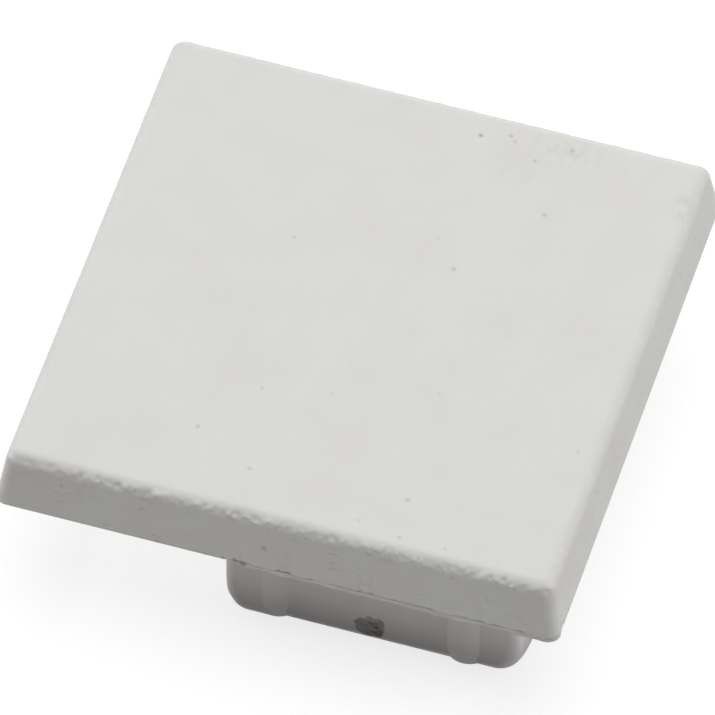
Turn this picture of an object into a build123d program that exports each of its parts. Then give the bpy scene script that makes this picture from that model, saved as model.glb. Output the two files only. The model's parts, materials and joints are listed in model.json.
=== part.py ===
"""Push-in end cap for a square extruded profile, moulded in one piece.

Frame: the origin is the centre of the cover plate's underside, which is the face that closes
the cut end of the profile. +Z points out of the profile, through the visible face of the cover.
+X points to the side of the profile that holds its closed chamber, where the plug goes.
All sizes are in millimetres and all angles in degrees.
"""
import os

from build123d import *

# Profile that the cap closes
profile_side = 20.0  # outside width and height of the square profile
profile_wall = 1.75  # thickness of the walls round its chamber
chamber_width = 10.75  # inside width of the chamber, along X

# Cover plate, flush with the outside of the profile
plate_thickness = 2.3
plate_draft = 9.0  # lean of the four sides, in towards the visible face
plate_edge_radius = 0.42  # upright corners and the soft edge round the visible face

# Plug, which slides into the chamber
plug_clearance = 0.15  # gap to each chamber wall
plug_depth = 5.35
plug_corner_radius = 0.85
plug_rim_radius = 0.7  # outer rounding of the leading rim
plug_wall = 1.4  # thickness left round the moulding core

# Moulding core, which opens the plug from its tip
core_corner_radius = 0.5
core_draft = 1.0
core_roof = 0.3  # how far the core stops short of the cover plate

# Grip ribs, two on each long side, which bite on the chamber walls
rib_spacing = 6.8
rib_shift = -0.1  # how far the two pairs lie from the plug's middle
rib_radius = 1.0
rib_height = 0.2  # how far a rib stands proud of the plug's side
rib_nose_radius = 0.8  # rounding of a rib's leading end, seen from the side

# Flat pad on each long side, from the corner at the open side of the profile to the first rib
pad_height = 0.14

# Scar of the moulding gate, round, on the front side near the rim
gate_radius = 0.55
gate_shift = 0.05  # how far it lies from the plug's middle
gate_rise = 0.25  # scar's centre above the rim's rounding
gate_sink = 0.1

# Places that follow from the sizes
plug_width = chamber_width - 2 * plug_clearance
plug_length = profile_side - 2 * (profile_wall + plug_clearance)
plug_centre = profile_side / 2 - profile_wall - plug_clearance - plug_width / 2
pad_length = plug_length + 2 * pad_height
rib_centre = plug_centre + rib_shift
pad_end = rib_centre - rib_spacing / 2
rib_axis_y = plug_length / 2 + rib_height - rib_radius
nose_start = Vector(rib_radius, rib_nose_radius - plug_depth)
nose_end = Vector(rib_radius - rib_nose_radius, -plug_depth)

# Rib: a turned pin with a curved lead-in, most of which is sunk in the plug's side
with BuildPart() as rib:
    with BuildSketch(Plane.XZ):
        with BuildLine():
            Polyline(nose_start, (rib_radius, 0), (0, 0), (0, -plug_depth), nose_end)
            RadiusArc(nose_start, nose_end, rib_nose_radius)
        make_face()
    revolve(axis=Axis.Z)

# Pads: the end of a plug body that is a little longer than the real one
with BuildPart() as pads:
    with BuildSketch(Plane.XY):
        with Locations((plug_centre, 0)):
            RectangleRounded(plug_width, pad_length, plug_corner_radius)
    extrude(amount=-plug_depth)
    fillet(pads.faces().sort_by(Axis.Z)[0].edges(), plug_rim_radius)
    split(bisect_by=Plane.YZ.offset(pad_end), keep=Keep.BOTTOM)

with BuildPart() as end_cap:
    # Cover plate, drafted so that it leaves the mould, with its soft edge
    with BuildSketch(Plane.XY):
        Rectangle(profile_side, profile_side)
    extrude(amount=plate_thickness, taper=plate_draft)
    fillet(end_cap.edges() - end_cap.edges().group_by(Axis.Z)[0], plate_edge_radius)

    # Plug body, with its rounded rim
    with BuildSketch(Plane.XY):
        with Locations((plug_centre, 0)):
            RectangleRounded(plug_width, plug_length, plug_corner_radius)
    extrude(amount=-plug_depth)
    fillet(end_cap.faces().sort_by(Axis.Z)[0].edges(), plug_rim_radius)
    add(pads.part)
    with Locations((rib_centre, 0)):
        with GridLocations(rib_spacing, 2 * rib_axis_y, 2, 2):
            add(rib.part)

    # Moulding core
    with BuildSketch(Plane.XY.offset(-plug_depth)):
        with Locations((plug_centre, 0)):
            RectangleRounded(
                plug_width - 2 * plug_wall, plug_length - 2 * plug_wall, core_corner_radius
            )
    extrude(amount=plug_depth - core_roof, taper=core_draft, mode=Mode.SUBTRACT)

    # Gate scar
    with BuildSketch(Plane.XZ.offset(plug_length / 2)):
        with Locations((plug_centre + gate_shift, plug_rim_radius + gate_rise - plug_depth)):
            Circle(gate_radius)
    extrude(amount=-gate_sink, mode=Mode.SUBTRACT)

end_cap.part.label = "end_cap"
os.makedirs("parts", exist_ok=True)
export_step(end_cap.part, "parts/end_cap.step")
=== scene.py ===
"""Looks of a push-in end cap for a square extruded profile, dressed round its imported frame.

The cap is one plastic moulding. Its skin is modelled here at the size that the frame gives:
a drafted cover plate with a soft edge, a hollow plug with four grip ribs, and the scar of the
moulding gate. A thin lip of flash runs round the parting line, which is the rim of the plate's
underside. +Z points out of the profile, -Y is the front, and all lengths are in metres.
"""

import json
import logging
import math
from dataclasses import dataclass
from enum import Enum

import bmesh
import bpy
from bmesh.types import BMEdge, BMesh, BMVert
from bpy.types import NodeSocket, Object
from mathutils import Matrix, Vector, noise


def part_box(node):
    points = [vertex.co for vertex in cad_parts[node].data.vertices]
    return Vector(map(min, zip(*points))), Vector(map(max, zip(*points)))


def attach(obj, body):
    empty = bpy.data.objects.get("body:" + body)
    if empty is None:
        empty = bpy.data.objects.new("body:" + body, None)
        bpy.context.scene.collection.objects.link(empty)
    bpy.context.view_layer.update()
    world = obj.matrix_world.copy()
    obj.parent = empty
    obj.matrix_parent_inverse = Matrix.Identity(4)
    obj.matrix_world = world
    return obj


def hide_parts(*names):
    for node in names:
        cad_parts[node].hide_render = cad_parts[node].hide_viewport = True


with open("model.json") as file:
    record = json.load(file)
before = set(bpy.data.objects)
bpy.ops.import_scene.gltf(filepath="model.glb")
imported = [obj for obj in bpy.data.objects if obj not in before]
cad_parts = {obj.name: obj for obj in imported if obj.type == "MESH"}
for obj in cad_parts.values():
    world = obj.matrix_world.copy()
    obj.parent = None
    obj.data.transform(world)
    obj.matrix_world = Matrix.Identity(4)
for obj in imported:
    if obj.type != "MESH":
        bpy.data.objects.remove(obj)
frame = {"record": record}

MM = 0.001
NODE = "end_cap"
BODY = "root"
LOG = logging.getLogger("end_cap")

Place = tuple[float, float, float]
Colour = tuple[float, float, float, float]


class Surface(Enum):
    """Faces of the skin that have a finish of their own, with their material index."""

    GRAINED = 0
    SMOOTH = 1
    SCAR = 2


class Side(Enum):
    """A long side of the plug, as the sign of its Y."""

    FRONT = -1
    BACK = 1


class Cut(Enum):
    """What one solid does to another."""

    JOIN = "UNION"
    REMOVE = "DIFFERENCE"


# Mesh helpers


def clamp(value: float) -> float:
    """Returns a value held between 0 and 1."""
    return min(1.0, max(0.0, value))


def ripple(spot: Vector, *sizes: float) -> float:
    """Returns the sum of the noises at a place, one for each size of lump, in millimetres."""
    return sum(noise.noise(spot / (size * MM)) for size in sizes)


def block(low: Vector, high: Vector) -> BMesh:
    """Makes a closed box.

    Args:
        low: Its lowest corner.
        high: Its highest corner.

    Returns:
        The box as a new bmesh.
    """
    mesh = bmesh.new()
    bmesh.ops.create_cube(mesh, size=1)
    bmesh.ops.scale(mesh, vec=high - low, verts=mesh.verts)
    bmesh.ops.translate(mesh, vec=(low + high) / 2, verts=mesh.verts)
    return mesh


def round_edges(mesh: BMesh, edges: list, width: float, segments: int) -> None:
    """Rounds edges to a circular section.

    Args:
        mesh: The bmesh that holds them.
        edges: The edges to round.
        width: How far the rounding starts from each edge.
        segments: How many strips it has.
    """
    bmesh.ops.bevel(
        mesh,
        geom=edges,
        offset=width,
        offset_type="OFFSET",
        affect="EDGES",
        segments=segments,
        profile=0.5,
        material=-1,
        clamp_overlap=True,
    )


def upright(mesh: BMesh) -> list:
    """Returns the edges that run from the top of a box to its bottom."""
    return [e for e in mesh.edges if abs(e.verts[0].co.z - e.verts[1].co.z) > e.calc_length() / 2]


def level(mesh: BMesh, height: float) -> list:
    """Returns the vertices at one height, to a micrometre."""
    return [v for v in mesh.verts if abs(v.co.z - height) < 1e-6]


def loop_at(mesh: BMesh, height: float) -> list:
    """Returns the edges that lie at one height."""
    ring = set(level(mesh, height))
    return [e for e in mesh.edges if all(v in ring for v in e.verts)]


def narrow(mesh: BMesh, height: float, inset: float) -> None:
    """Draws in the end of a box, as the draft of a mould does.

    Args:
        mesh: The box.
        height: Height of the end that gets smaller.
        inset: How far each of its sides moves in.
    """
    end = level(mesh, height)
    xs, ys = [v.co.x for v in end], [v.co.y for v in end]
    width, length = max(xs) - min(xs), max(ys) - min(ys)
    middle = Vector(((max(xs) + min(xs)) / 2, (max(ys) + min(ys)) / 2, 0))
    share = Vector((1 - 2 * inset / width, 1 - 2 * inset / length, 1))
    bmesh.ops.scale(mesh, vec=share, space=Matrix.Translation(-middle), verts=end)


def slice_at(mesh: BMesh, point: tuple, normal: tuple, drop: bool = False) -> None:
    """Cuts a bmesh along a plane, and drops what lies beyond it if asked."""
    bmesh.ops.bisect_plane(
        mesh,
        geom=mesh.verts[:] + mesh.edges[:] + mesh.faces[:],
        plane_co=point,
        plane_no=normal,
        clear_outer=drop,
    )


def hull(points: list[Vector]) -> BMesh:
    """Makes the convex solid round a set of points.

    Args:
        points: The points.

    Returns:
        The solid, with its flat triangles joined into larger faces.
    """
    mesh = bmesh.new()
    for point in points:
        mesh.verts.new(point)
    bmesh.ops.convex_hull(mesh, input=mesh.verts)
    bmesh.ops.delete(mesh, geom=[v for v in mesh.verts if not v.link_faces], context="VERTS")
    bmesh.ops.dissolve_limit(
        mesh,
        angle_limit=math.radians(0.3),
        verts=mesh.verts,
        edges=mesh.edges,
        use_dissolve_boundaries=False,
    )
    return mesh


def show(name: str, data: bpy.types.ID) -> Object:
    """Returns a new object in the scene that holds a mesh, a camera or a light."""
    made = bpy.data.objects.new(name, data)
    bpy.context.scene.collection.objects.link(made)
    return made


def place(mesh: BMesh, name: str) -> Object:
    """Turns a bmesh into an object at the origin.

    Args:
        mesh: The bmesh, which is freed.
        name: Name of the new object.

    Returns:
        The object, linked to the scene.
    """
    bmesh.ops.recalc_face_normals(mesh, faces=mesh.faces)
    data = bpy.data.meshes.new(name)
    mesh.to_mesh(data)
    mesh.free()
    return show(name, data)


def settle(piece: Object) -> None:
    """Applies the modifiers of a piece to its mesh."""
    shape = piece.evaluated_get(bpy.context.evaluated_depsgraph_get())
    data = bpy.data.meshes.new_from_object(shape)
    piece.modifiers.clear()
    old, piece.data = piece.data, data
    bpy.data.meshes.remove(old)
    data.name = piece.name


def cut(piece: Object, tool: BMesh, how: Cut) -> None:
    """Joins a solid to a piece, or removes it from the piece.

    Args:
        piece: The piece that changes.
        tool: The other solid, which is used up.
        how: Whether it is joined or removed.
    """
    other = place(tool, "tool")
    step = piece.modifiers.new("cut", "BOOLEAN")
    step.object = other
    step.operation = how.value
    step.solver = "EXACT"
    settle(piece)
    bpy.data.objects.remove(other)


# The moulding


@dataclass
class CoverPlate:
    """Square plate that closes the end of the profile, with drafted sides and a soft edge.

    Attributes:
        side: Width and length at the underside.
        thickness: Height above the underside, which lies at z = 0.
        draft: Lean of the four sides.
        edge_width: How far the soft edges start from the sharp ones.
        edge_segments: Strips in each soft edge.
        rim_width: Small chamfer of the rim at the underside.
        lump: Height of the lumps that the eroded mould leaves on the soft edge.
        nick: How uneven the rim at the underside is.
        step: Distance between the points that carry them.
        clean_x: Left of this the front of the rim is clean and sharp.
        fade: Over what length the clean stretch ends.
        calm: How much flash and rounding the other sides have, next to the front.
        trimmed: How much of the rim's chamfer is missing where the rim is clean.
    """

    side: float
    thickness: float
    draft: float = math.radians(9)
    edge_width: float = 0.42 * MM
    edge_segments: int = 9
    rim_width: float = 0.11 * MM
    lump: float = 0.058 * MM
    nick: float = 0.07 * MM
    step: float = 0.06 * MM
    clean_x: float = -1.5 * MM
    fade: float = 0.6 * MM
    calm: float = 0.1
    trimmed: float = 0.85

    def frontness(self, spot: Vector) -> float:
        """Returns 1 on the front of the plate and 0 on its other sides."""
        return clamp((-spot.y / self.side - 0.45) / 0.03)

    def wear_at(self, spot: Vector) -> float:
        """Says how much of the flash and the rounding a place on the rim has.

        Args:
            spot: The place.

        Returns:
            1 on the flashed front, 0 on its clean stretch and a little on the other sides.
        """
        flashed = clamp((spot.x - self.clean_x) / self.fade + 0.5)
        return self.calm + (flashed - self.calm) * self.frontness(spot)

    def solid(self) -> BMesh:
        """Returns the plate as a closed bmesh."""
        half = self.side / 2
        mesh = block(Vector((-half, -half, 0)), Vector((half, half, self.thickness)))
        narrow(mesh, self.thickness, self.thickness * math.tan(self.draft))
        soft = upright(mesh) + loop_at(mesh, self.thickness)
        round_edges(mesh, soft, self.edge_width, self.edge_segments)
        round_edges(mesh, loop_at(mesh, 0), self.rim_width, 1)
        self.roughen(mesh)
        return mesh

    def roughen(self, mesh: BMesh) -> None:
        """Gives the soft edge its lumps and the rim its nicks.

        Args:
            mesh: The plate.
        """
        slice_at(mesh, (0, 0, self.thickness - 1.15 * self.edge_width), (0, 0, 1))
        long = [e for e in mesh.edges if e.calc_length() > self.side / 2]
        bmesh.ops.subdivide_edges(mesh, edges=long, cuts=round(self.side / self.step))
        mesh.normal_update()
        moves = [v.normal * self.lump_at(v.co) + Vector((0, 0, self.nick_at(v.co))) for v in mesh.verts]
        for vert, move in zip(mesh.verts, moves):
            vert.co += move

    def lump_at(self, spot: Vector) -> float:
        """Returns how far a place on the soft edge stands out, which is nothing at its borders."""
        share = (self.thickness - spot.z) / self.edge_width
        if not 0 < share < 1:
            return 0.0
        worn = min(1.0, max(0.3, (spot.x / self.side + 0.5) * 6))
        lumps = ripple(spot, 0.13, 0.22, 0.5, 1.6) * (0.2 + (0.8 * worn) * self.frontness(spot))
        return self.lump * lumps * math.sin(math.pi * share) ** 2

    def nick_at(self, spot: Vector) -> float:
        """Returns how far a place on the rim is moved up, which is nothing at the underside."""
        if not 0.5 * self.rim_width < spot.z < 1.5 * self.rim_width:
            return 0.0
        worn = self.wear_at(spot)
        ragged = ripple(spot, 0.17, 0.3, 1.1)
        return self.nick * worn * ragged - (1 - worn) * self.trimmed * self.rim_width


@dataclass
class Plug:
    """Hollow block that slides into the profile's chamber.

    Attributes:
        centre_x: Middle of the block, along X.
        width: Size along X.
        length: Size along Y.
        depth: How far it reaches below the plate.
        corner_radius: Rounding of its upright corners.
        tip_corner_radius: The same at its tip, where it is larger as a lead-in.
        flare: Height over which its corners widen, next to the rim's rounding.
        rim_radius: Outer rounding of its rim.
        wall: Thickness left round the core.
        core_roof: How far the core stops short of the plate.
        core_draft: Lean of the core's sides.
        core_corner: Rounding of the core's upright corners.
        pad_height: How far the flat pads beside the first ribs stand out.
        crown_height: How far the middle of the closed side stands out.
        root: How far solids reach into the plate, so that they join it cleanly.
    """

    centre_x: float
    width: float
    length: float
    depth: float
    corner_radius: float = 0.42 * MM
    tip_corner_radius: float = 0.85 * MM
    flare: float = 1.6
    rim_radius: float = 0.7 * MM
    wall: float = 1.4 * MM
    core_roof: float = 0.3 * MM
    core_draft: float = math.radians(1)
    core_corner: float = 0.5 * MM
    pad_height: float = 0.14 * MM
    crown_height: float = 0.12 * MM
    root: float = 0.5 * MM

    def body(self, stretch: float = 0.0) -> BMesh:
        """Makes the outer block.

        Args:
            stretch: How far each end stands beyond the plain length.

        Returns:
            The block as a closed bmesh.
        """
        reach = Vector((self.width / 2, self.length / 2 + stretch, 0))
        middle = Vector((self.centre_x, 0, 0))
        low, high = middle - reach, middle + reach
        tip = block(low - Vector((0, 0, self.depth)), high + Vector((0, 0, self.rim_radius - self.depth)))
        round_edges(tip, upright(tip), self.tip_corner_radius, 12)
        round_edges(tip, loop_at(tip, -self.depth), self.rim_radius, 8)
        parts = [tip]
        for share in (0.25, 0.5, 0.75, 1.0):
            radius = self.corner_radius + (self.tip_corner_radius - self.corner_radius) * (1 - share) ** 1.5
            foot = Vector((0, 0, self.rim_radius * (1 + self.flare * share**2) - self.depth))
            stem = block(low + foot, high + Vector((0, 0, self.root)))
            round_edges(stem, upright(stem), radius, 12)
            parts.append(stem)
        mesh = hull([vert.co.copy() for part in parts for vert in part.verts])
        for part in parts:
            part.free()
        return mesh

    def crown(self, mesh: BMesh) -> None:
        """Crowns the closed side of the block a little, so that it grips the chamber's end wall.

        Args:
            mesh: The block, which it changes.
        """
        reach, start = self.length / 2, self.centre_x + self.width / 2 - self.rim_radius
        for share in (0.80, 0.84, 0.88, 0.92, 0.96):
            for side in Side:
                slice_at(mesh, (0, side.value * share * reach, 0), (0, 1, 0))
        for vert in (v for v in mesh.verts if v.co.x > start):
            inward = clamp((0.92 - abs(vert.co.y) / reach) / 0.12)
            rise = math.sin(inward * math.pi / 2) * (vert.co.x - start) / self.rim_radius
            vert.co.x += self.crown_height * rise

    def pads(self, end_x: float) -> BMesh:
        """Makes the flat pads, one on each long side.

        Args:
            end_x: Where the pads stop, at the middle of the first ribs.

        Returns:
            The end of a longer block, cut off there and closed.
        """
        mesh = self.body(self.pad_height)
        slice_at(mesh, (end_x, 0, 0), (1, 0, 0), drop=True)
        bmesh.ops.holes_fill(mesh, edges=[e for e in mesh.edges if e.is_boundary])
        return mesh

    def core(self) -> BMesh:
        """Returns the moulding core that opens the plug from its rim."""
        half_width, half_length = self.width / 2 - self.wall, self.length / 2 - self.wall
        below = self.depth + self.root
        mesh = block(
            Vector((self.centre_x - half_width, -half_length, -below)),
            Vector((self.centre_x + half_width, half_length, -self.core_roof)),
        )
        narrow(mesh, -self.core_roof, (below - self.core_roof) * math.tan(self.core_draft))
        round_edges(mesh, upright(mesh), self.core_corner, 6)
        return mesh


@dataclass
class GripRibs:
    """Half-round ribs that bite on the chamber's long walls, two on each side.

    Attributes:
        plug: The block that they stand on.
        spacing: Distance between the two ribs of a side.
        shift: How far the pair lies from the plug's middle, along X.
        radius: Radius of a rib.
        height: How far a rib stands proud of the plug.
        nose: Outline of its leading end: radius lost and height above the tip of each ring.
    """

    plug: Plug
    spacing: float = 6.8 * MM
    shift: float = -0.10 * MM
    radius: float = 1.0 * MM
    height: float = 0.2 * MM
    nose: tuple[tuple[float, float], ...] = (
        (0.0, 1.07 * MM),
        (0.004 * MM, 1.03 * MM),
        (0.09 * MM, 0.46 * MM),
        (0.15 * MM, 0.34 * MM),
        (0.22 * MM, 0.25 * MM),
        (0.30 * MM, 0.17 * MM),
        (0.42 * MM, 0.08 * MM),
        (0.60 * MM, 0.02 * MM),
        (0.80 * MM, 0.0),
    )

    def first_x(self) -> float:
        """Returns the middle of the ribs nearest to the open side of the profile."""
        return self.plug.centre_x + self.shift - self.spacing / 2

    def rib(self, column: int, side: Side) -> BMesh:
        """Makes one rib.

        Args:
            column: 0 for the first rib of the side and 1 for the second.
            side: The long side that it stands on.

        Returns:
            A pin, most of which is sunk in the plug.
        """
        away = self.plug.length / 2 + self.height - self.radius
        middle = Vector((self.first_x() + column * self.spacing, side.value * away, -self.plug.depth))
        mesh = bmesh.new()
        top = self.plug.depth + self.plug.root
        outline = [(self.radius, top), *((lost, up) for lost, up in self.nose), (self.radius, 0.0)]
        spine = [mesh.verts.new(middle + Vector((self.radius - lost, 0, up))) for lost, up in outline]
        spine.insert(1, mesh.verts.new(middle + Vector((self.radius, 0, top))))
        edges = [mesh.edges.new(pair) for pair in zip(spine, spine[1:])]
        bmesh.ops.spin(
            mesh,
            geom=spine + edges,
            cent=middle,
            axis=(0, 0, 1),
            angle=math.tau,
            steps=64,
            use_merge=True,
        )
        bmesh.ops.remove_doubles(mesh, verts=mesh.verts, dist=1e-7)
        return mesh


@dataclass
class GateScar:
    """Round scar where the runner was broken off, on the front of the plug near its rim.

    Attributes:
        plug: The block that carries it.
        radius: Radius of the scar.
        rise: Height of its middle above the rim.
        shift: How far it lies from the plug's middle, along X.
        sink: How deep it is torn into the wall.
        tear: How uneven its floor is.
    """

    plug: Plug
    radius: float = 0.55 * MM
    rise: float = 1.03 * MM
    shift: float = 0.05 * MM
    sink: float = 0.14 * MM
    tear: float = 0.22 * MM

    def middle(self) -> Vector:
        """Returns the centre of the scar, on the plug's wall."""
        middle_x = self.plug.centre_x + self.shift
        return Vector((middle_x, -self.plug.length / 2, self.rise - self.plug.depth))

    def crater(self) -> BMesh:
        """Returns the material that is missing, with a torn floor."""
        mesh = bmesh.new()
        bmesh.ops.create_icosphere(mesh, subdivisions=4, radius=1)
        bmesh.ops.scale(mesh, vec=(self.radius, self.sink, self.radius), verts=mesh.verts)
        for vert in mesh.verts:
            lump = ripple(vert.co, 0.35) + 0.5 * ripple(vert.co, 0.14)
            vert.co += vert.co.normalized() * self.tear * lump
        bmesh.ops.translate(mesh, vec=self.middle(), verts=mesh.verts)
        return mesh


@dataclass
class PartingFlash:
    """Thin ragged lip that the mould's parting line leaves round the plate's underside.

    Attributes:
        plate: The plate whose rim carries it.
        set_in: How far the lip's outer face lies inside the rim.
        thickness: Thickness of the lip.
        least: How far it hangs below the underside at least.
        drop: The same on average.
        ragged: How much that drop changes.
        ledge_height: Height of its outer top on average, and how much that changes.
        notch: Depth of the crease between the lip and the plate's side.
        buried: Height of its inner root, which is sunk in the plate.
    """

    plate: CoverPlate
    set_in: float = 0.01 * MM
    thickness: float = 0.06 * MM
    least: float = 0.02 * MM
    drop: float = 0.10 * MM
    ragged: float = 0.14 * MM
    ledge_height: float = 0.035 * MM
    notch: float = 0.04 * MM
    buried: float = 0.03 * MM

    def hang(self, spot: Vector) -> float:
        """Returns how far the lip hangs below the underside at one place."""
        change = 0.9 * ripple(spot, 2.4) + 0.7 * ripple(spot, 0.45)
        return max(self.least, self.drop + self.ragged * change)

    def ledge(self, spot: Vector) -> float:
        """Returns the height of the lip's outer top at one place."""
        return self.ledge_height * (1 + ripple(spot, 0.5, 0.17))

    def section(self, spot: Vector) -> list[Vector]:
        """Returns the lip's section at one place of the rim.

        Args:
            spot: A point of the rim's outline.

        Returns:
            Points from the lip's outer root, round its edge, to its inner root.
        """
        worn = self.plate.wear_at(spot)
        root = self.plate.rim_width - self.least
        outside = root + (self.set_in - root) * worn
        crest = self.buried + (self.ledge(spot) - self.buried) * worn
        tip = self.buried + (-self.hang(spot) - self.buried) * worn
        inside = outside + self.thickness * worn
        top = self.plate.rim_width - self.notch + self.least
        rows = ((self.notch, top), (outside, crest), (outside, tip), (inside, tip), (root, self.buried))
        shares = ((1 - 2 * inset / self.plate.side, height) for inset, height in rows)
        return [Vector((spot.x * share, spot.y * share, height)) for share, height in shares]

    def build(self) -> Object:
        """Returns the lip as an object."""
        mesh = bmesh.new()
        bmesh.ops.create_grid(mesh, x_segments=1, y_segments=1, size=self.plate.side / 2)
        bmesh.ops.bevel(
            mesh,
            geom=mesh.verts[:],
            offset=self.plate.edge_width,
            offset_type="OFFSET",
            affect="VERTICES",
            segments=6,
            profile=0.5,
            material=-1,
        )
        bmesh.ops.delete(mesh, geom=mesh.faces[:], context="FACES_ONLY")
        straight = [e for e in mesh.edges if e.calc_length() > self.plate.side / 2]
        bmesh.ops.subdivide_edges(mesh, edges=straight, cuts=round(self.plate.side / self.plate.step))
        ring, rows = mesh.edges[:], [mesh.verts[:]]
        for _ in range(4):
            made = bmesh.ops.extrude_edge_only(mesh, edges=ring)["geom"]
            rows.append([item for item in made if isinstance(item, BMVert)])
            ring = [item for item in made if isinstance(item, BMEdge)]
        for number, row in enumerate(rows):
            for vert in row:
                vert.co = self.section(vert.co)[number]
        lip = place(mesh, "parting_flash")
        lip.data.shade_smooth()
        lip.data.set_sharp_from_angle(angle=math.radians(50))
        return lip


@dataclass
class Moulding:
    """The whole cap, as one skin.

    Attributes:
        plate: Its cover plate.
        plug: Its plug.
        ribs: The grip ribs on the plug.
        scar: The gate's scar on the plug.
        crease: Angle above which an edge stays sharp.
    """

    plate: CoverPlate
    plug: Plug
    ribs: GripRibs
    scar: GateScar
    crease: float = math.radians(40)

    def surface_of(self, face: bpy.types.MeshPolygon) -> Surface:
        """Says which finish a face of the skin has."""
        if face.center.z > -0.01 * MM:
            return Surface.GRAINED
        away = face.center - self.scar.middle()
        near = math.hypot(away.x, away.z) < self.scar.radius * 1.3 and away.y < 3 * self.scar.sink
        small = face.area < (self.scar.radius / 2) ** 2
        return Surface.SCAR if near and small else Surface.SMOOTH

    def build(self) -> Object:
        """Returns the finished skin, with its surfaces marked and its normals set."""
        skin = place(self.plate.solid(), "end_cap_skin")
        body = self.plug.body()
        self.plug.crown(body)
        cut(skin, body, Cut.JOIN)
        cut(skin, self.plug.pads(self.ribs.first_x()), Cut.JOIN)
        for side in Side:
            for column in range(2):
                cut(skin, self.ribs.rib(column, side), Cut.JOIN)
        cut(skin, self.plug.core(), Cut.REMOVE)
        cut(skin, self.scar.crater(), Cut.REMOVE)
        for face in skin.data.polygons:
            face.material_index = self.surface_of(face).value
        skin.data.shade_smooth()
        skin.data.set_sharp_from_angle(angle=self.crease)
        flat = skin.modifiers.new("flat_faces", "WEIGHTED_NORMAL")
        flat.keep_sharp = True
        settle(skin)
        return skin


# Node helpers


@dataclass
class Graph:
    """A node tree with short calls that add nodes and link them."""

    tree: bpy.types.NodeTree

    def add(self, kind: str, inputs: dict | None = None, **settings) -> bpy.types.Node:
        """Adds one node.

        Args:
            kind: The node's type name, without its ShaderNode prefix.
            inputs: A value or a linked socket for each input, by name or place.
            **settings: Attributes of the node itself.

        Returns:
            The new node.
        """
        node = self.tree.nodes.new("ShaderNode" + kind)
        for name, value in settings.items():
            setattr(node, name, value)
        for name, value in (inputs or {}).items():
            if isinstance(value, NodeSocket):
                self.tree.links.new(value, node.inputs[name])
            else:
                node.inputs[name].default_value = value
        return node

    def math(self, operation: str, *values, clamp: bool = False) -> NodeSocket:
        """Adds a Math node.

        Args:
            operation: Its operation.
            *values: Its inputs, in order.
            clamp: Whether the result stays between 0 and 1.

        Returns:
            Its result.
        """
        node = self.add("Math", dict(enumerate(values)), operation=operation, use_clamp=clamp)
        return node.outputs[0]

    def times(self, value, factor) -> NodeSocket:
        """Returns the product of two values or sockets."""
        return self.math("MULTIPLY", value, factor)

    def ramp(self, value, start: float, end: float, low: float = 0.0, high: float = 1.0):
        """Maps a value smoothly from one span to another.

        Args:
            value: The socket to map.
            start: Where the span begins.
            end: Where it ends.
            low: Result at the start.
            high: Result at the end.

        Returns:
            The mapped socket.
        """
        node = self.add(
            "MapRange",
            {"Value": value, "From Min": start, "From Max": end, "To Min": low, "To Max": high},
            interpolation_type="SMOOTHSTEP",
        )
        return node.outputs["Result"]

    def tint(self, colour, mask, towards: tuple) -> NodeSocket:
        """Mixes a colour towards another by a mask.

        Args:
            colour: The colour or socket to start from.
            mask: How much of the other colour there is.
            towards: The other colour.

        Returns:
            The mixed colour.
        """
        node = self.add("Mix", {"Factor": mask, "A": colour, "B": towards}, data_type="RGBA")
        return node.outputs["Result"]


class Effect:
    """A shader node group that several finishes share."""

    def __init__(self, name: str, inputs: dict[str, str], outputs: dict[str, str]) -> None:
        """Makes the empty group.

        Args:
            name: The group's name.
            inputs: Socket type of each input.
            outputs: Socket type of each output.
        """
        self.tree = bpy.data.node_groups.new(name, "ShaderNodeTree")
        for way, sockets in (("INPUT", inputs), ("OUTPUT", outputs)):
            for label, kind in sockets.items():
                self.tree.interface.new_socket(label, in_out=way, socket_type="NodeSocket" + kind)
        self.graph = Graph(self.tree)
        self.given = self.tree.nodes.new("NodeGroupInput").outputs
        self.result = self.tree.nodes.new("NodeGroupOutput").inputs

    def put_out(self, name: str, socket: NodeSocket) -> None:
        """Links a socket to one of the group's outputs."""
        self.tree.links.new(socket, self.result[name])

    def use(self, graph: Graph, inputs: dict) -> bpy.types.Node:
        """Places the group in a material.

        Args:
            graph: The material's graph.
            inputs: Values and links for the group's inputs.

        Returns:
            The group's node.
        """
        return graph.add("Group", inputs, node_tree=self.tree)


def grain_effect() -> Effect:
    """Makes the texture that an eroded mould leaves: lumps, fine grain and slow waves.

    Returns:
        A group that puts out Height, from 0 to 1, and Mottle, around 0.5.
    """
    effect = Effect(
        "mould_grain", {"Place": "Vector", "Lump": "Float"}, {"Height": "Float", "Mottle": "Float"}
    )
    graph, given = effect.graph, effect.given
    scale = graph.math("DIVIDE", 1.0, given["Lump"])
    lumps = graph.add("TexVoronoi", {"Vector": given["Place"], "Scale": scale}, feature="F1")
    fine = graph.add(
        "TexNoise",
        {"Vector": given["Place"], "Scale": graph.times(scale, 1.7), "Detail": 3.0},
    )
    slow = graph.add(
        "TexNoise", {"Vector": given["Place"], "Scale": graph.times(scale, 0.12), "Detail": 2.0}
    )
    body = graph.times(graph.math("SUBTRACT", 1.0, lumps.outputs["Distance"]), 0.45)
    height = graph.math("ADD", body, graph.times(fine.outputs["Fac"], 0.55))
    effect.put_out("Height", height)
    effect.put_out("Mottle", slow.outputs["Fac"])
    return effect


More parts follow.
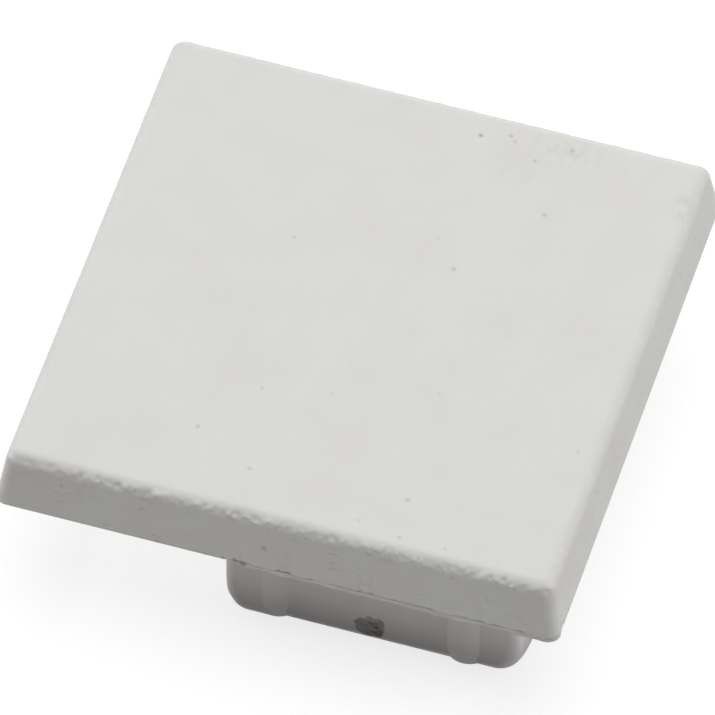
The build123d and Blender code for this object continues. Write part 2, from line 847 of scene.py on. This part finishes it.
def speck_effect() -> Effect:
    """Makes one dark speck with a soft, ragged outline.

    Returns:
        A group that puts out Mask, which is Strength in the speck's middle. Rough is a noise
        that frays the outline.
    """
    effect = Effect(
        "speck",
        {"Place": "Vector", "Centre": "Vector", "Radius": "Float", "Strength": "Float", "Rough": "Float"},
        {"Mask": "Float"},
    )
    graph, given = effect.graph, effect.given
    away = graph.add("VectorMath", {0: given["Place"], 1: given["Centre"]}, operation="DISTANCE")
    reach = graph.math("DIVIDE", away.outputs["Value"], given["Radius"])
    frayed = graph.math("ADD", reach, graph.times(given["Rough"], 0.8))
    near = graph.ramp(frayed, 0.5, 1.9, 1.0, 0.0)
    effect.put_out("Mask", graph.times(near, given["Strength"]))
    return effect


def scatter_effect() -> Effect:
    """Makes fine specks spread at random.

    Returns:
        A group that puts out Mask; Cell is their spacing and Share is how many cells hold one.
    """
    effect = Effect(
        "scattered_specks",
        {"Place": "Vector", "Cell": "Float", "Share": "Float", "Size": "Float"},
        {"Mask": "Float"},
    )
    graph, given = effect.graph, effect.given
    cells = graph.add(
        "TexVoronoi", {"Vector": given["Place"], "Scale": graph.math("DIVIDE", 1.0, given["Cell"])}
    )
    chance = graph.add("SeparateColor", {"Color": cells.outputs["Color"]})
    chosen = graph.math("LESS_THAN", chance.outputs["Red"], given["Share"])
    size = graph.times(given["Size"], graph.math("ADD", chance.outputs["Green"], 0.35))
    reach = graph.math("DIVIDE", cells.outputs["Distance"], size)
    strength = graph.times(chance.outputs["Blue"], chance.outputs["Blue"])
    dots = graph.times(chosen, graph.ramp(reach, 0.3, 1.3, 1.0, 0.0))
    effect.put_out("Mask", graph.times(dots, graph.math("ADD", strength, 0.2)))
    return effect


def stain_effect() -> Effect:
    """Makes a blotch of rubbed-in grime.

    Returns:
        A group that puts out Mask; Reach is the blotch's half size along each axis.
    """
    effect = Effect("stain", {"Place": "Vector", "Centre": "Vector", "Reach": "Vector"}, {"Mask": "Float"})
    graph, given = effect.graph, effect.given
    moved = graph.add("VectorMath", {0: given["Place"], 1: given["Centre"]}, operation="SUBTRACT")
    unit = graph.add("VectorMath", {0: moved.outputs[0], 1: given["Reach"]}, operation="DIVIDE")
    away = graph.add("VectorMath", {0: unit.outputs[0]}, operation="LENGTH")
    cloud = graph.add("TexNoise", {"Vector": given["Place"], "Scale": 2600.0, "Detail": 4.0})
    patchy = graph.ramp(cloud.outputs["Fac"], 0.36, 0.74)
    near = graph.ramp(away.outputs["Value"], 0.2, 1.0, 1.0, 0.0)
    effect.put_out("Mask", graph.times(near, patchy))
    return effect


def streak_effect() -> Effect:
    """Makes the marks of a face that slid out of its mould: fine streaks that run along X.

    Returns:
        A group that puts out Height, around 0.5, and Mask, which picks the deepest streaks.
        Side is how upright the surface is, since level faces have no streaks.
    """
    effect = Effect(
        "streaks",
        {"Place": "Vector", "Side": "Float", "Cell": "Float", "Share": "Float"},
        {"Height": "Float", "Mask": "Float"},
    )
    graph, given = effect.graph, effect.given
    scale = graph.math("DIVIDE", 1.0, given["Cell"])
    long = graph.add("Mapping", {"Vector": given["Place"], "Scale": (0.14, 0.6, 1.0)})
    bent = graph.add("TexNoise", {"Vector": long.outputs[0], "Scale": scale, "Detail": 2.0})
    over = graph.math("SUBTRACT", bent.outputs["Fac"], graph.math("SUBTRACT", 1.0, given["Share"]))
    short = graph.add("Mapping", {"Vector": given["Place"], "Scale": (0.35, 0.6, 1.0)})
    smear = graph.add(
        "TexNoise", {"Vector": short.outputs[0], "Scale": graph.times(scale, 0.6), "Detail": 3.0}
    )
    effect.put_out("Height", graph.times(smear.outputs["Fac"], given["Side"]))
    mask = graph.math("MULTIPLY", over, 8.0, clamp=True)
    effect.put_out("Mask", graph.times(mask, given["Side"]))
    return effect


def wear_effect() -> Effect:
    """Makes the rubbed look of a soft edge between level and upright faces.

    Returns:
        A group that puts out Mask, patchy along the edge.
    """
    effect = Effect("edge_wear", {"Place": "Vector", "Up": "Float"}, {"Mask": "Float"})
    graph, given = effect.graph, effect.given
    leaning, level_off = graph.ramp(given["Up"], 0.3, 0.7), graph.ramp(given["Up"], 0.9, 0.995, 1.0, 0.0)
    turned = graph.times(leaning, level_off)
    patches = graph.add("TexNoise", {"Vector": given["Place"], "Scale": 3300.0, "Detail": 3.0})
    effect.put_out("Mask", graph.times(turned, graph.ramp(patches.outputs["Fac"], 0.5, 0.72)))
    return effect


# Finishes

RUBBED = (0.86, 0.86, 0.85, 1.0)
STREAK_CELL = 0.11 * MM
SCATTER_CELL = 0.8 * MM
MARK_STRENGTH = 0.42
MARK_DEPTH = 0.8
# Heights between which the plug's colour is painted darker as shade: fully at the lower one, not at all at
# the upper one.
TIP_SHADE_BOTTOM = -5.4 * MM
TIP_SHADE_TOP = -2.4 * MM
PLATE_TOP = 2.3


@dataclass(frozen=True)
class Speck:
    """One dark speck on the plate.

    Attributes:
        at: Its place, in millimetres.
        radius: Its radius, in millimetres.
        strength: How dark it is, up to 1.
    """

    at: Place
    radius: float
    strength: float


@dataclass(frozen=True)
class Stain:
    """One blotch of grime on the plate.

    Attributes:
        at: Its middle, in millimetres.
        reach: Its half size along each axis, in millimetres.
        colour: Its colour.
        strength: How strong it is at most.
    """

    at: Place
    reach: Place
    colour: Colour
    strength: float


@dataclass(frozen=True)
class Effects:
    """The node groups that the finishes share."""

    grain: Effect
    speck: Effect
    scatter: Effect
    stain: Effect
    streak: Effect
    wear: Effect


@dataclass(frozen=True)
class Finish:
    """Surface of one kind of moulded plastic.

    Attributes:
        name: Name of its material.
        colour: Plain colour of the plastic.
        shade: Colour of its slow mottling.
        dirt_and_shade: Colour of specks and scratches, and of the painted shade towards the plug's tip.
        roughness: Roughness of the shader.
        lump: Size of the grain.
        depth: Depth of the grain.
        gloss: Specular level of the shader.
        scatter: Share of cells that hold a fine speck.
        scratches: Share of the upright faces that is scratched.
        streaks: How deep the streaks on the upright faces are, next to the grain.
        wear: How much the soft edges are rubbed pale.
        specks: The specks that stand out.
        stains: The blotches of dirt.
        tip_shade: How much the plug's colour is painted darker towards its tip, as shade near the floor.
    """

    name: str
    colour: Colour
    shade: Colour
    dirt_and_shade: Colour
    roughness: float
    lump: float
    depth: float
    gloss: float = 0.2
    scatter: float = 0.0
    scratches: float = 0.0
    streaks: float = 0.5
    wear: float = 0.0
    specks: tuple[Speck, ...] = ()
    stains: tuple[Stain, ...] = ()
    tip_shade: float = 0.0

    def colouring(self, graph: Graph, effects: Effects, place_of, up, mottle) -> NodeSocket:
        """Colours the plastic, with its mottling, stains, painted shade towards the plug's tip and rubbed
        edges.

        Args:
            graph: The material's graph.
            effects: The shared node groups.
            place_of: Socket of the Object coordinates.
            up: Socket of how far the surface faces up.
            mottle: Socket of the slow noise.

        Returns:
            The colour, before any marks.
        """
        colour = graph.tint(self.colour, graph.ramp(mottle, 0.35, 0.65), self.shade)
        for stain in self.stains:
            facts = {"Place": place_of, "Centre": Vector(stain.at) * MM, "Reach": Vector(stain.reach) * MM}
            blotch = effects.stain.use(graph, facts).outputs["Mask"]
            colour = graph.tint(colour, graph.times(blotch, stain.strength), stain.colour)
        # Painted shade: the colour is mixed darker towards the plug's tip, standing in for the shade that
        # falls there near the floor.
        if self.tip_shade:
            height = graph.add("SeparateXYZ", {"Vector": place_of}).outputs["Z"]
            deep = graph.math("POWER", graph.ramp(height, TIP_SHADE_BOTTOM, TIP_SHADE_TOP, 1.0, 0.0), 1.5)
            colour = graph.tint(colour, graph.times(deep, self.tip_shade), self.dirt_and_shade)
        if self.wear:
            rubbed = effects.wear.use(graph, {"Place": place_of, "Up": up}).outputs["Mask"]
            colour = graph.tint(colour, graph.times(rubbed, self.wear), RUBBED)
        return colour

    def marking(self, graph: Graph, effects: Effects, place_of, streaks) -> NodeSocket:
        """Gathers the scratches, the fine specks and those that stand out.

        Args:
            graph: The material's graph.
            effects: The shared node groups.
            place_of: Socket of the Object coordinates.
            streaks: Socket of the deepest streaks.

        Returns:
            One mask for all of them.
        """
        facts = {"Place": place_of, "Cell": SCATTER_CELL, "Share": self.scatter, "Size": 0.11}
        dots = effects.scatter.use(graph, facts).outputs["Mask"]
        marks = graph.times(graph.math("MAXIMUM", dots, streaks), MARK_STRENGTH)
        rough = graph.add("TexNoise", {"Vector": place_of, "Scale": 9000.0, "Detail": 1.0})
        for speck in self.specks:
            facts = {
                "Place": place_of,
                "Centre": Vector(speck.at) * MM,
                "Radius": speck.radius * MM,
                "Strength": speck.strength,
                "Rough": rough.outputs["Fac"],
            }
            marks = graph.math("MAXIMUM", marks, effects.speck.use(graph, facts).outputs["Mask"])
        return marks

    def material(self, effects: Effects) -> bpy.types.Material:
        """Builds the material.

        Args:
            effects: The shared node groups.

        Returns:
            The finished material.
        """
        made = bpy.data.materials.new(self.name)
        made.use_nodes = True
        graph = Graph(made.node_tree)
        place_of = graph.add("TexCoord").outputs["Object"]
        turned = graph.add("SeparateXYZ", {"Vector": graph.add("NewGeometry").outputs["True Normal"]})
        up = turned.outputs["Z"]
        side = graph.ramp(graph.math("ABSOLUTE", up), 0.4, 0.8, 1.0, 0.0)
        grain = effects.grain.use(graph, {"Place": place_of, "Lump": self.lump}).outputs
        facts = {"Place": place_of, "Side": side, "Cell": STREAK_CELL, "Share": self.scratches}
        streaks = effects.streak.use(graph, facts).outputs
        marks = self.marking(graph, effects, place_of, streaks["Mask"])
        colour = self.colouring(graph, effects, place_of, up, grain["Mottle"])
        height = graph.math("SUBTRACT", grain["Height"], graph.times(marks, MARK_DEPTH))
        height = graph.math("ADD", height, graph.times(streaks["Height"], self.streaks))
        bump = graph.add("Bump", {"Height": height, "Distance": self.depth, "Strength": 1.0})
        results = {
            "Base Color": graph.tint(colour, marks, self.dirt_and_shade),
            "Roughness": graph.ramp(grain["Height"], 0.3, 0.8, self.roughness - 0.05, self.roughness + 0.05),
            "Normal": bump.outputs["Normal"],
        }
        shader = made.node_tree.nodes["Principled BSDF"]
        shader.inputs["Specular IOR Level"].default_value = self.gloss
        for name, socket in results.items():
            made.node_tree.links.new(socket, shader.inputs[name])
        return made


RIM_SPECKS = (
    Speck((-1.40, -9.98, 0.07), 0.12, 0.9),
    Speck((-1.12, -9.98, 0.02), 0.12, 0.9),
    Speck((-1.83, -9.98, 0.07), 0.08, 0.7),
)

TOP_SPECKS = tuple(
    Speck((x, y, PLATE_TOP), radius, strength)
    for x, y, radius, strength in (
        (1.7, 8.5, 0.09, 0.74),
        (2.7, 8.8, 0.08, 0.41),
        (2.9, 8.6, 0.07, 0.33),
        (3.8, 8.0, 0.08, 0.37),
        (4.9, 8.8, 0.09, 0.41),
        (4.8, 5.8, 0.09, 0.41),
        (-3.1, 2.3, 0.07, 0.29),
        (2.5, 2.6, 0.09, 0.41),
        (1.6, 3.7, 0.07, 0.16),
        (-2.2, -4.3, 0.07, 0.29),
        (0.1, -3.8, 0.07, 0.16),
        (3.6, -2.7, 0.07, 0.16),
        (-3.8, -6.5, 0.09, 0.41),
        (-1.6, -7.7, 0.08, 0.33),
        (3.9, -7.4, 0.10, 0.37),
        (4.1, -9.0, 0.09, 0.29),
        (5.7, -9.0, 0.07, 0.25),
        (2.6, -8.7, 0.08, 0.20),
        (8.8, -3.7, 0.07, 0.29),
    )
)

GRAINED = Finish(
    name="grained_grey_plastic",
    colour=(0.680, 0.685, 0.663, 1.0),
    shade=(0.672, 0.665, 0.652, 1.0),
    dirt_and_shade=(0.30, 0.29, 0.28, 1.0),
    roughness=0.6,
    lump=0.26 * MM,
    depth=0.013 * MM,
    scatter=0.06,
    scratches=0.355,
    streaks=0.9,
    wear=0.15,
    specks=(
        *TOP_SPECKS,
        *RIM_SPECKS,
        Speck((-0.41, -9.83, 0.98), 0.09, 0.6),
        Speck((7.45, -9.82, 1.17), 0.07, 0.3),
        Speck((8.34, -9.69, 1.97), 0.07, 0.3),
        Speck((6.17, -9.72, 1.78), 0.07, 0.3),
        Speck((7.04, -9.67, 2.12), 0.06, 0.3),
        Speck((3.21, -9.70, 1.89), 0.07, 0.35),
        Speck((1.95, -9.83, 1.06), 0.06, 0.3),
        Speck((-7.61, -9.76, 1.54), 0.06, 0.3),
        Speck((-4.77, -9.77, 1.43), 0.06, 0.3),
        Speck((9.93, -9.2, 0.15), 0.08, 0.6),
        Speck((9.93, -8.6, 0.12), 0.07, 0.5),
        Speck((9.93, -6.9, 0.14), 0.07, 0.5),
    ),
    stains=(
        Stain((4.9, 8.8, PLATE_TOP), (1.9, 0.9, 0.5), (0.46, 0.38, 0.26, 1.0), 0.24),
        Stain((9.2, 7.5, PLATE_TOP), (0.5, 0.9, 0.5), (0.52, 0.40, 0.32, 1.0), 0.35),
        Stain((3.4, 7.6, PLATE_TOP), (1.5, 1.3, 0.5), (0.50, 0.49, 0.47, 1.0), 0.16),
        Stain((-9.7, -9.9, 1.10), (0.7, 0.5, 1.2), (0.66, 0.52, 0.48, 1.0), 0.55),
        Stain((-4.28, -10.0, 0.08), (0.36, 0.12, 0.06), (0.10, 0.09, 0.08, 1.0), 1.0),
        Stain((-2.60, -10.0, 0.03), (1.0, 0.15, 0.05), (0.20, 0.18, 0.16, 1.0), 0.9),
        Stain((-4.65, -9.75, 2.00), (0.6, 0.3, 0.35), (0.46, 0.41, 0.22, 1.0), 0.38),
        Stain((-1.75, -9.75, 2.00), (0.4, 0.3, 0.35), (0.52, 0.34, 0.26, 1.0), 0.38),
        Stain((-0.15, -9.75, 1.95), (0.5, 0.3, 0.35), (0.52, 0.36, 0.26, 1.0), 0.38),
        Stain((1.66, -9.75, 2.00), (0.3, 0.3, 0.35), (0.46, 0.41, 0.24, 1.0), 0.38),
        Stain((3.90, -9.80, 1.90), (0.5, 0.3, 0.35), (0.56, 0.46, 0.34, 1.0), 0.4),
    ),
)

SMOOTH = Finish(
    name="smooth_grey_plastic",
    colour=(0.645, 0.628, 0.632, 1.0),
    shade=(0.625, 0.608, 0.620, 1.0),
    dirt_and_shade=(0.30, 0.28, 0.28, 1.0),
    roughness=0.42,
    lump=0.6 * MM,
    depth=0.004 * MM,
    scatter=0.01,
    scratches=0.24,
    # Painted shade, darkening the plug's colour towards its tip.
    tip_shade=0.5,
)

SCAR = Finish(
    name="torn_plastic",
    colour=(0.36, 0.345, 0.34, 1.0),
    shade=(0.42, 0.40, 0.39, 1.0),
    dirt_and_shade=(0.20, 0.19, 0.19, 1.0),
    roughness=0.75,
    lump=0.12 * MM,
    depth=0.03 * MM,
)

FLASH = Finish(
    name="flash_plastic",
    colour=(0.68, 0.67, 0.655, 1.0),
    shade=(0.60, 0.59, 0.58, 1.0),
    dirt_and_shade=(0.30, 0.29, 0.28, 1.0),
    roughness=0.6,
    lump=0.15 * MM,
    depth=0.012 * MM,
    specks=RIM_SPECKS,
)


# Camera, lights and floor


@dataclass
class ViewCamera:
    """Camera with a long lens that looks down on the plate from the front, right of its middle.

    Attributes:
        azimuth: How far it stands round to the right of the front.
        elevation: Its height above the horizon.
        roll: How far the picture turns.
        distance: From the middle of the plate's face to the camera.
        lens: Focal length, in millimetres, on a 36 mm sensor.
        right: How far it is moved to its right.
        up: How far it is moved to its top.
    """

    azimuth: float = math.radians(16.37)
    elevation: float = math.radians(51.91)
    roll: float = math.radians(0.85)
    distance: float = 485.25 * MM
    lens: float = 716.5
    right: float = -0.13 * MM
    up: float = -1.66 * MM

    def build(self, target: Vector) -> Object:
        """Makes the camera and sets it as the scene's.

        Args:
            target: The middle of the plate's face.

        Returns:
            The camera.
        """
        level_out = math.cos(self.elevation)
        ahead, aside = math.cos(self.azimuth), math.sin(self.azimuth)
        back = Vector((aside * level_out, -ahead * level_out, math.sin(self.elevation)))
        sideways = Vector((ahead, aside, 0))
        upward = back.cross(sideways)
        turn = Matrix.Rotation(self.roll, 3, back)
        sideways, upward = turn @ sideways, turn @ upward
        data = bpy.data.cameras.new("view")
        data.sensor_width = 36
        data.lens = self.lens
        data.clip_start = 0.01
        data.clip_end = 10
        camera = show("view", data)
        where = target + sideways * self.right + upward * self.up + back * self.distance
        turned = Matrix((sideways, upward, back)).transposed().to_4x4()
        camera.matrix_world = Matrix.Translation(where) @ turned
        bpy.context.scene.camera = camera
        return camera


@dataclass(frozen=True)
class Lamp:
    """A square soft box that points at the cap.

    Attributes:
        name: Name of the light.
        place: Where it hangs.
        size: Its side.
        power: Its power, in watts.
    """

    name: str
    place: Place
    size: float
    power: float

    def build(self) -> Object:
        """Returns the light."""
        data = bpy.data.lights.new(self.name, "AREA")
        data.size = self.size
        data.energy = self.power
        lamp = show(self.name, data)
        lamp.location = self.place
        lamp.rotation_euler = (-Vector(self.place)).to_track_quat("-Z", "Y").to_euler()
        return lamp


@dataclass
class Studio:
    """Pale floor, white surroundings and soft light.

    Attributes:
        floor_height: Height of the floor.
        floor_size: Half its side.
        floor_colour: Its colour.
        shadow_colour: How strongly the camera sees the cap's shadow on it.
        floor_lift: White that the camera sees on top of that.
        ambient: Light that comes from all round.
        lamps: The soft boxes.
    """

    floor_height: float
    floor_size: float = 1.5
    floor_colour: Colour = (0.82, 0.80, 0.785, 1.0)
    shadow_colour: Colour = (0.28, 0.28, 0.28, 1.0)
    floor_lift: float = 0.80
    ambient: float = 0.0
    lamps: tuple[Lamp, ...] = (
        Lamp("overhead", (0.0, 0.0, 0.50), 0.40, 1.56),
        Lamp("behind", (0.0, 0.30, 0.42), 0.30, 0.57),
        Lamp("right_wall", (0.50, 0.15, 0.25), 0.60, 1.42),
        Lamp("left_wall", (-0.50, 0.15, 0.25), 0.60, 1.80),
    )

    def seen(self, graph: Graph) -> NodeSocket:
        """Returns 1 for rays from the camera, and for what gloss and glass show it."""
        path = graph.add("LightPath").outputs
        mirror = graph.math("MAXIMUM", path["Is Glossy Ray"], path["Is Transmission Ray"])
        return graph.math("MAXIMUM", path["Is Camera Ray"], mirror)

    def floor(self) -> Object:
        """Returns the floor, which shows white with the cap's shadow on it."""
        mesh = bmesh.new()
        bmesh.ops.create_grid(mesh, x_segments=8, y_segments=8, size=self.floor_size)
        bmesh.ops.translate(mesh, vec=(0, 0, self.floor_height), verts=mesh.verts)
        floor = place(mesh, "floor")
        if floor.data.polygons[0].normal.z < 0:
            floor.data.flip_normals()
        paint = bpy.data.materials.new("pale_floor")
        paint.use_nodes = True
        graph = Graph(paint.node_tree)
        graph.tree.nodes.clear()
        matt = graph.add("BsdfDiffuse", {"Color": self.floor_colour})
        shadow = graph.add("BsdfDiffuse", {"Color": self.shadow_colour})
        white = graph.add("Emission", {"Color": (1, 1, 1, 1), "Strength": self.floor_lift})
        shown = graph.add("AddShader", {0: shadow.outputs[0], 1: white.outputs[0]})
        mixed = graph.add("MixShader", {0: self.seen(graph), 1: matt.outputs[0], 2: shown.outputs[0]})
        graph.add("OutputMaterial", {"Surface": mixed.outputs[0]})
        floor.data.materials.append(paint)
        return floor

    def world(self) -> None:
        """Sets the surroundings: plain soft light that shows as white."""
        world = bpy.data.worlds.new("surroundings")
        world.use_nodes = True
        graph = Graph(world.node_tree)
        graph.tree.nodes.clear()
        soft = graph.add("Background", {"Color": (1, 1, 1, 1), "Strength": self.ambient})
        white = graph.add("Background", {"Color": (1, 1, 1, 1), "Strength": 1.0})
        mixed = graph.add("MixShader", {0: self.seen(graph), 1: soft.outputs[0], 2: white.outputs[0]})
        graph.add("OutputWorld", {"Surface": mixed.outputs[0]})
        bpy.context.scene.world = world

    def build(self) -> None:
        """Sets up the whole studio."""
        self.floor()
        self.world()
        for lamp in self.lamps:
            lamp.build()
        bpy.context.scene.view_settings.view_transform = "Standard"


# The whole


@dataclass
class EndCap:
    """The dressed cap: its skin and the flash on its parting line.

    Attributes:
        low: Lowest corner of the moulding.
        high: Highest corner of the moulding.
        plug_x: Middle of the plug, along X.
        plug_width: The plug's size along X.
        side_gap: From the outside of the plate to the plug's long sides.
    """

    low: Vector
    high: Vector
    plug_x: float
    plug_width: float = 10.45 * MM
    side_gap: float = 1.90 * MM

    def parts(self) -> tuple[Moulding, PartingFlash]:
        """Returns the sub-assemblies at their sizes."""
        side = self.high.x - self.low.x
        plate = CoverPlate(side, self.high.z)
        plug = Plug(self.plug_x, self.plug_width, side - 2 * self.side_gap, -self.low.z)
        moulding = Moulding(plate, plug, GripRibs(plug), GateScar(plug))
        return moulding, PartingFlash(plate)

    def build(self, effects: Effects) -> list[Object]:
        """Builds and dresses every piece.

        Args:
            effects: The shared node groups.

        Returns:
            The pieces, riding on their body.
        """
        moulding, flash = self.parts()
        skin = moulding.build()
        for finish in (GRAINED, SMOOTH, SCAR):
            skin.data.materials.append(finish.material(effects))
        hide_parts(NODE)
        lip = flash.build()
        lip.data.materials.append(FLASH.material(effects))
        pieces = [skin, lip]
        for piece in pieces:
            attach(piece, BODY)
            LOG.info("%s: %d faces", piece.name, len(piece.data.polygons))
        return pieces


def main() -> None:
    """Builds the cap, its camera and its studio."""
    logging.basicConfig(level=logging.INFO, format="%(name)s %(message)s")
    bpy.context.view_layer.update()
    low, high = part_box(NODE)
    mounts = {mount["name"]: mount for mount in frame["record"]["mounts"]}
    ViewCamera().build(Vector((0, 0, high.z)))
    Studio(low.z).build()
    makers = (grain_effect, speck_effect, scatter_effect, stain_effect, streak_effect, wear_effect)
    effects = Effects(*(make() for make in makers))
    EndCap(low, high, mounts["plug"]["pos_m"][0]).build(effects)


if __name__ == "__main__":
    main()
